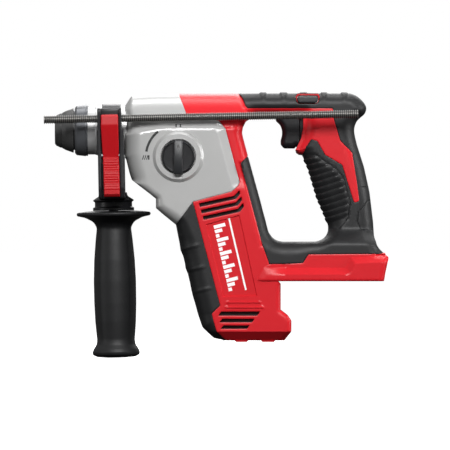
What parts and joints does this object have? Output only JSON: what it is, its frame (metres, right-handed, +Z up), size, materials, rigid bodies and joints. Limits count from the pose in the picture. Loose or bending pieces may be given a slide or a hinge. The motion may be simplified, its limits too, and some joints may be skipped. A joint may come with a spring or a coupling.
{
  "type": "rotary hammer",
  "caption": "Compact cordless rotary hammer with bit chuck, grey gear case, D-handle, tilted motor housing, battery foot, side handle and toothed depth rod.",
  "frame": {"origin": "flat front face of the beat piece on the spindle axis, where the end of a bit's shank seats", "axes": "+X along the spindle from the chuck towards the rear handle, +Z up, -Y the side with the mode knob"},
  "size_m": [0.2989, 0.0848, 0.2311],
  "materials": {
    "red_plastic": "moulded glass-filled nylon, fine texture",
    "black_rubber": "soft overmoulding, matt",
    "black_plastic": "moulded nylon, satin",
    "grey_case": "cast metal with silver-grey paint",
    "steel": "ground steel",
    "dark_steel": "blackened steel",
    "copper": "copper winding and laminations"
  },
  "bodies": {
    "case": {"gear_case": "grey_case", "housing_left": "red_plastic", "housing_right": "red_plastic", "handle_overmold_left": "black_rubber", "handle_overmold_right": "black_rubber", "motor_overmold_left": "black_rubber", "motor_overmold_right": "black_rubber", "spindle_front_bearing": "steel", "spindle_rear_bearing": "steel", "front_seal": "black_rubber", "shaft_front_bearing": "steel", "shaft_rear_bearing": "steel", "motor_top_bearing": "steel", "motor_bottom_bearing": "steel", "motor_can": "dark_steel", "motor_magnet_ring": "dark_steel", "brush_holder": "black_plastic", "brush_left": "black_plastic", "brush_right": "black_plastic", "trigger_switch": "black_plastic", "trigger_spring": "steel", "battery_terminal_block": "black_plastic", "housing_screw_top": "dark_steel", "housing_screw_rear": "dark_steel", "housing_screw_grip": "dark_steel", "housing_screw_foot": "dark_steel"},
    "chuck": {"spindle": "steel", "dust_cap": "black_rubber", "spindle_gear": "steel", "clutch_spring": "steel", "sleeve_spring": "steel"},
    "locking_sleeve": {"locking_sleeve": "dark_steel"},
    "ball_top": {"locking_ball_top": "steel"},
    "ball_bottom": {"locking_ball_bottom": "steel"},
    "beat_piece": {"beat_piece": "steel"},
    "striker": {"striker": "steel"},
    "piston": {"piston": "steel"},
    "piston_pin": {"piston_pin": "steel"},
    "wobble_ring": {"wobble_ring": "steel"},
    "intermediate_shaft": {"intermediate_shaft": "steel", "driven_bevel_gear": "steel", "wobble_hub": "steel"},
    "clutch_sleeve": {"hammer_clutch_sleeve": "steel"},
    "shift_fork": {"mode_shift_fork": "steel"},
    "mode_knob": {"mode_knob": "black_plastic"},
    "motor_rotor": {"motor_shaft": "steel", "armature_core": "copper", "commutator": "copper", "motor_fan": "black_plastic"},
    "trigger": {"trigger": "black_plastic"},
    "direction_shuttle": {"direction_shuttle": "black_plastic"},
    "side_clamp": {"clamp_band": "dark_steel", "clamp_housing": "black_plastic", "handle_bolt": "steel", "lever_pin": "steel", "lever_spring": "steel"},
    "handle_grip": {"handle_grip": "black_rubber", "grip_nut": "steel"},
    "depth_rod": {"depth_rod": "black_plastic"},
    "rod_lever": {"rod_release_lever": "red_plastic"}
  },
  "joints": [
    {"name": "spindle_spin", "type": "hinge", "parent": "case", "child": "chuck", "pos_m": [0, 0, 0], "axis": [1, 0, 0], "continuous": true},
    {"name": "sleeve_slide", "type": "slide", "parent": "chuck", "child": "locking_sleeve", "axis": [1, 0, 0], "range_m": [0, 0.0075], "stiffness_N_per_m": 900, "springref_m": -0.004, "deforming": ["sleeve_spring"]},
    {"name": "ball_top_lift", "type": "slide", "parent": "chuck", "child": "ball_top", "axis": [0, 0, 1], "range_m": [0, 0.001]},
    {"name": "ball_bottom_lift", "type": "slide", "parent": "chuck", "child": "ball_bottom", "axis": [0, 0, -1], "range_m": [0, 0.001]},
    {"name": "beat_slide", "type": "slide", "parent": "chuck", "child": "beat_piece", "axis": [1, 0, 0], "range_m": [0, 0.003]},
    {"name": "striker_slide", "type": "slide", "parent": "case", "child": "striker", "axis": [1, 0, 0], "range_m": [-0.013, 0.008]},
    {"name": "piston_slide", "type": "slide", "parent": "case", "child": "piston", "axis": [1, 0, 0], "range_m": [-0.0075, 0.0075]},
    {"name": "piston_pin_turn", "type": "hinge", "parent": "piston", "child": "piston_pin", "pos_m": [0.098, 0, 0], "axis": [0, 1, 0], "range_deg": [-13, 13]},
    {"name": "wobble_swing", "type": "hinge", "parent": "case", "child": "wobble_ring", "pos_m": [0.098, 0, -0.034], "axis": [0, 1, 0], "range_deg": [-13, 13]},
    {"name": "shaft_spin", "type": "hinge", "parent": "case", "child": "intermediate_shaft", "pos_m": [0, 0, -0.034], "axis": [1, 0, 0], "continuous": true},
    {"name": "motor_spin", "type": "hinge", "parent": "case", "child": "motor_rotor", "pos_m": [0.0785, 0, -0.034], "axis": [-0.2419, 0, 0.9703], "continuous": true},
    {"name": "knob_turn", "type": "hinge", "parent": "case", "child": "mode_knob", "pos_m": [0.0639, -0.036, -0.023], "axis": [0, -1, 0], "range_deg": [0, 90]},
    {"name": "fork_slide", "type": "slide", "parent": "case", "child": "shift_fork", "axis": [1, 0, 0], "range_m": [0, 0.0032]},
    {"name": "clutch_slide", "type": "slide", "parent": "intermediate_shaft", "child": "clutch_sleeve", "axis": [1, 0, 0], "range_m": [-0.0001, 0.0033]},
    {"name": "trigger_pull", "type": "slide", "parent": "case", "child": "trigger", "axis": [1, 0, 0], "range_m": [0, 0.005], "stiffness_N_per_m": 600, "springref_m": -0.004, "deforming": ["trigger_spring"]},
    {"name": "direction_shift", "type": "slide", "parent": "case", "child": "direction_shuttle", "axis": [0, 1, 0], "range_m": [-0.003, 0.003]},
    {"name": "side_handle_swing", "type": "hinge", "parent": "case", "child": "side_clamp", "pos_m": [0.0057, 0, 0], "axis": [1, 0, 0], "range_deg": [-180, 0]},
    {"name": "grip_twist", "type": "hinge", "parent": "side_clamp", "child": "handle_grip", "pos_m": [0.0075, 0, -0.07029], "axis": [-0.0185, 0, 0.9998], "range_deg": [0, 720]},
    {"name": "depth_rod_slide", "type": "slide", "parent": "side_clamp", "child": "depth_rod", "axis": [-0.9998, 0, -0.0185], "range_m": [-0.038, 0.185]},
    {"name": "rod_lever_press", "type": "hinge", "parent": "side_clamp", "child": "rod_lever", "pos_m": [0.00501, -0.0438, -0.02203], "axis": [0.9998, 0, 0.0185], "range_deg": [0, 7], "stiffness_Nm_per_rad": 2, "springref_deg": -1.72, "deforming": ["lever_spring"]}
  ],
  "couplings": [
    {"joint": "shaft_spin", "follows": "spindle_spin", "ratio": -2.4},
    {"joint": "motor_spin", "follows": "spindle_spin", "ratio": 9.6},
    {"joint": "wobble_swing", "follows": "piston_slide", "rad_per_m": 29.5},
    {"joint": "piston_pin_turn", "follows": "piston_slide", "rad_per_m": 29.5},
    {"joint": "knob_turn", "follows": "fork_slide", "rad_per_m": 490.86},
    {"joint": "clutch_slide", "follows": "fork_slide", "ratio": 1}
  ]
}
